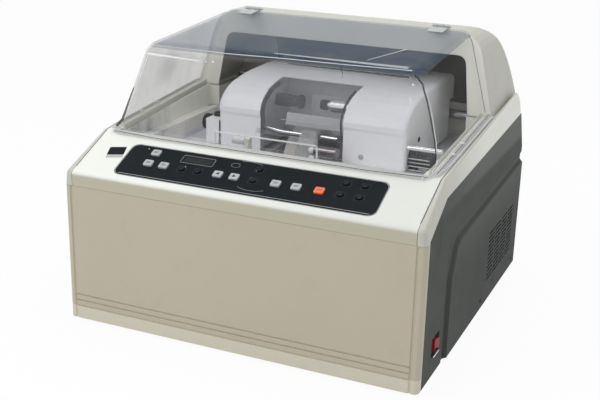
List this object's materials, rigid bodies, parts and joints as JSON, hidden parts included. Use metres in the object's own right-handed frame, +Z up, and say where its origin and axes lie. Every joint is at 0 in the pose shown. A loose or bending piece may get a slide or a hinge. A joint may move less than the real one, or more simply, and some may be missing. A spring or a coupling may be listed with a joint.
{
  "type": "lens edger",
  "caption": "Benchtop lens edging machine: cabinet with sloped key panel, hinged clear hood, swinging lens head with clamp shafts, and belt-driven grinding wheel in a water tray.",
  "frame": {"origin": "on the bench, under the middle of the cabinet", "axes": "+X to the machine's right as its front is faced, +Y from front to rear, +Z up"},
  "size_m": [0.566, 0.54, 0.4393],
  "materials": {
    "beige_moulding": "satin, fine grain",
    "black_panel": "satin black",
    "black_rubber": "matt",
    "bright_chrome": "polished",
    "brushed_steel": "brushed",
    "charcoal_moulding": "fine grain",
    "clear_acrylic": "clear, lightly smoked, polished",
    "cream_deck": "satin",
    "dark_plated_metal": "dark satin",
    "diamond_abrasive": "sintered abrasive rim",
    "display_glass": "gloss black",
    "gloss_black_keys": "gloss",
    "graphite_casting": "painted casting",
    "grey_keys": "satin",
    "ivory_moulding": "satin",
    "light_beige_moulding": "satin",
    "lilac_grey_tray": "fine grain",
    "lilac_white_cover": "satin",
    "orange_key": "satin",
    "red_rocker": "gloss, translucent red",
    "slate_sheet": "dark satin",
    "white_knob": "gloss",
    "zinc_sheet": "zinc-plated sheet"
  },
  "bodies": {
    "cabinet": {"base_pan": "zinc_sheet", "foot_front_left": "black_rubber", "foot_front_right": "black_rubber", "foot_rear_left": "black_rubber", "foot_rear_right": "black_rubber", "front_panel": "beige_moulding", "side_cover_left": "charcoal_moulding", "side_cover_right": "charcoal_moulding", "rear_panel": "charcoal_moulding", "deck_cover": "cream_deck", "rail_left": "ivory_moulding", "rail_right": "ivory_moulding", "rear_housing": "light_beige_moulding", "recess_back": "slate_sheet", "bay_tray": "lilac_grey_tray", "control_panel": "black_panel", "display_window": "display_glass", "splash_guard": "clear_acrylic", "nozzle_block": "dark_plated_metal", "wheel_motor": "graphite_casting", "spindle_housing": "graphite_casting", "hinge_block_left": "brushed_steel", "hinge_block_right": "brushed_steel", "power_inlet": "black_panel", "guide_shaft": "bright_chrome", "drive_belt": "black_rubber"},
    "lid": {"hood": "clear_acrylic", "hood_hinge_left": "brushed_steel", "hood_hinge_right": "brushed_steel"},
    "traverse": {"traverse_base": "graphite_casting"},
    "head": {"carriage_frame": "graphite_casting", "head_cover": "lilac_white_cover", "clamp_motor": "dark_plated_metal"},
    "door": {"chamber_door": "clear_acrylic"},
    "left_lens_shaft": {"lens_shaft_left": "bright_chrome", "chuck_left": "black_rubber"},
    "clamp": {"clamp_sleeve": "bright_chrome"},
    "right_lens_shaft": {"lens_shaft_right": "bright_chrome", "chuck_right": "black_rubber"},
    "wheel": {"wheel_spindle": "brushed_steel", "grinding_wheel": "diamond_abrasive"},
    "motor_rotor": {"motor_pulley": "brushed_steel"},
    "rocker": {"power_rocker": "red_rocker"},
    "knob": {"water_knob": "white_knob"},
    "key_pattern_cap": {"key_pattern": "grey_keys"},
    "key_size_cap": {"key_size": "grey_keys"},
    "key_distance_cap": {"key_distance": "grey_keys"},
    "key_minus_cap": {"key_minus": "grey_keys"},
    "key_plus_cap": {"key_plus": "grey_keys"},
    "key_water_cap": {"key_water": "grey_keys"},
    "key_clamp_cap": {"key_clamp": "grey_keys"},
    "key_start_cap": {"key_start": "orange_key"},
    "key_lens_type_cap": {"key_lens_type": "gloss_black_keys"},
    "key_bevel_cap": {"key_bevel": "gloss_black_keys"},
    "key_polish_cap": {"key_polish": "gloss_black_keys"},
    "key_groove_cap": {"key_groove": "gloss_black_keys"},
    "key_side_cap": {"key_side": "gloss_black_keys"},
    "key_mode_cap": {"key_mode": "gloss_black_keys"},
    "key_repeat_cap": {"key_repeat": "gloss_black_keys"},
    "key_stop_cap": {"key_stop": "gloss_black_keys"}
  },
  "joints": [
    {"name": "hood_hinge", "type": "hinge", "parent": "cabinet", "child": "lid", "pos_m": [0, 0.1215, 0.4367], "axis": [-1, 0, 0], "range_deg": [0, 75]},
    {"name": "carriage_traverse", "type": "slide", "parent": "cabinet", "child": "traverse", "axis": [1, 0, 0], "range_m": [-0.01, 0.01]},
    {"name": "carriage_swing", "type": "hinge", "parent": "traverse", "child": "head", "pos_m": [0, 0.17, 0.285], "axis": [-1, 0, 0], "range_deg": [0, 7]},
    {"name": "chamber_door_hinge", "type": "hinge", "parent": "head", "child": "door", "pos_m": [0, 0.038, 0.33811], "axis": [-1, 0, 0], "range_deg": [0, 45]},
    {"name": "lens_spin_left", "type": "hinge", "parent": "head", "child": "left_lens_shaft", "pos_m": [0, 0.014, 0.314], "axis": [1, 0, 0], "continuous": true},
    {"name": "clamp_slide", "type": "slide", "parent": "head", "child": "clamp", "axis": [-1, 0, 0], "range_m": [0, 0.028]},
    {"name": "lens_spin_right", "type": "hinge", "parent": "clamp", "child": "right_lens_shaft", "pos_m": [0, 0.014, 0.314], "axis": [1, 0, 0], "continuous": true},
    {"name": "wheel_spin", "type": "hinge", "parent": "cabinet", "child": "wheel", "pos_m": [0, 0.014, 0.216], "axis": [1, 0, 0], "continuous": true},
    {"name": "motor_spin", "type": "hinge", "parent": "cabinet", "child": "motor_rotor", "pos_m": [0, 0.155, 0.075], "axis": [1, 0, 0], "continuous": true},
    {"name": "power_rocker_tilt", "type": "hinge", "parent": "cabinet", "child": "rocker", "pos_m": [0.2735, -0.199, 0.051], "axis": [0, 0, -1], "range_deg": [0, 16]},
    {"name": "water_knob_turn", "type": "hinge", "parent": "cabinet", "child": "knob", "pos_m": [-0.097, -0.083, 0.266], "axis": [1, 0, 0], "range_deg": [0, 270]},
    {"name": "key_pattern_press", "type": "slide", "parent": "cabinet", "child": "key_pattern_cap", "axis": [0, 0.3971, -0.9178], "range_m": [0, 0.001], "stiffness_N_per_m": 500, "springref_m": -0.0004},
    {"name": "key_size_press", "type": "slide", "parent": "cabinet", "child": "key_size_cap", "axis": [0, 0.3971, -0.9178], "range_m": [0, 0.001], "stiffness_N_per_m": 500, "springref_m": -0.0004},
    {"name": "key_distance_press", "type": "slide", "parent": "cabinet", "child": "key_distance_cap", "axis": [0, 0.3971, -0.9178], "range_m": [0, 0.001], "stiffness_N_per_m": 500, "springref_m": -0.0004},
    {"name": "key_minus_press", "type": "slide", "parent": "cabinet", "child": "key_minus_cap", "axis": [0, 0.3971, -0.9178], "range_m": [0, 0.001], "stiffness_N_per_m": 500, "springref_m": -0.0004},
    {"name": "key_plus_press", "type": "slide", "parent": "cabinet", "child": "key_plus_cap", "axis": [0, 0.3971, -0.9178], "range_m": [0, 0.001], "stiffness_N_per_m": 500, "springref_m": -0.0004},
    {"name": "key_water_press", "type": "slide", "parent": "cabinet", "child": "key_water_cap", "axis": [0, 0.3971, -0.9178], "range_m": [0, 0.001], "stiffness_N_per_m": 500, "springref_m": -0.0004},
    {"name": "key_clamp_press", "type": "slide", "parent": "cabinet", "child": "key_clamp_cap", "axis": [0, 0.3971, -0.9178], "range_m": [0, 0.001], "stiffness_N_per_m": 500, "springref_m": -0.0004},
    {"name": "key_start_press", "type": "slide", "parent": "cabinet", "child": "key_start_cap", "axis": [0, 0.3971, -0.9178], "range_m": [0, 0.001], "stiffness_N_per_m": 500, "springref_m": -0.0004},
    {"name": "key_lens_type_press", "type": "slide", "parent": "cabinet", "child": "key_lens_type_cap", "axis": [0, 0.3971, -0.9178], "range_m": [0, 0.001], "stiffness_N_per_m": 500, "springref_m": -0.0004},
    {"name": "key_bevel_press", "type": "slide", "parent": "cabinet", "child": "key_bevel_cap", "axis": [0, 0.3971, -0.9178], "range_m": [0, 0.001], "stiffness_N_per_m": 500, "springref_m": -0.0004},
    {"name": "key_polish_press", "type": "slide", "parent": "cabinet", "child": "key_polish_cap", "axis": [0, 0.3971, -0.9178], "range_m": [0, 0.001], "stiffness_N_per_m": 500, "springref_m": -0.0004},
    {"name": "key_groove_press", "type": "slide", "parent": "cabinet", "child": "key_groove_cap", "axis": [0, 0.3971, -0.9178], "range_m": [0, 0.001], "stiffness_N_per_m": 500, "springref_m": -0.0004},
    {"name": "key_side_press", "type": "slide", "parent": "cabinet", "child": "key_side_cap", "axis": [0, 0.3971, -0.9178], "range_m": [0, 0.001], "stiffness_N_per_m": 500, "springref_m": -0.0004},
    {"name": "key_mode_press", "type": "slide", "parent": "cabinet", "child": "key_mode_cap", "axis": [0, 0.3971, -0.9178], "range_m": [0, 0.001], "stiffness_N_per_m": 500, "springref_m": -0.0004},
    {"name": "key_repeat_press", "type": "slide", "parent": "cabinet", "child": "key_repeat_cap", "axis": [0, 0.3971, -0.9178], "range_m": [0, 0.001], "stiffness_N_per_m": 500, "springref_m": -0.0004},
    {"name": "key_stop_press", "type": "slide", "parent": "cabinet", "child": "key_stop_cap", "axis": [0, 0.3971, -0.9178], "range_m": [0, 0.001], "stiffness_N_per_m": 500, "springref_m": -0.0004}
  ],
  "couplings": [
    {"joint": "lens_spin_right", "follows": "lens_spin_left", "ratio": 1},
    {"joint": "motor_spin", "follows": "wheel_spin", "ratio": 0.71429}
  ]
}
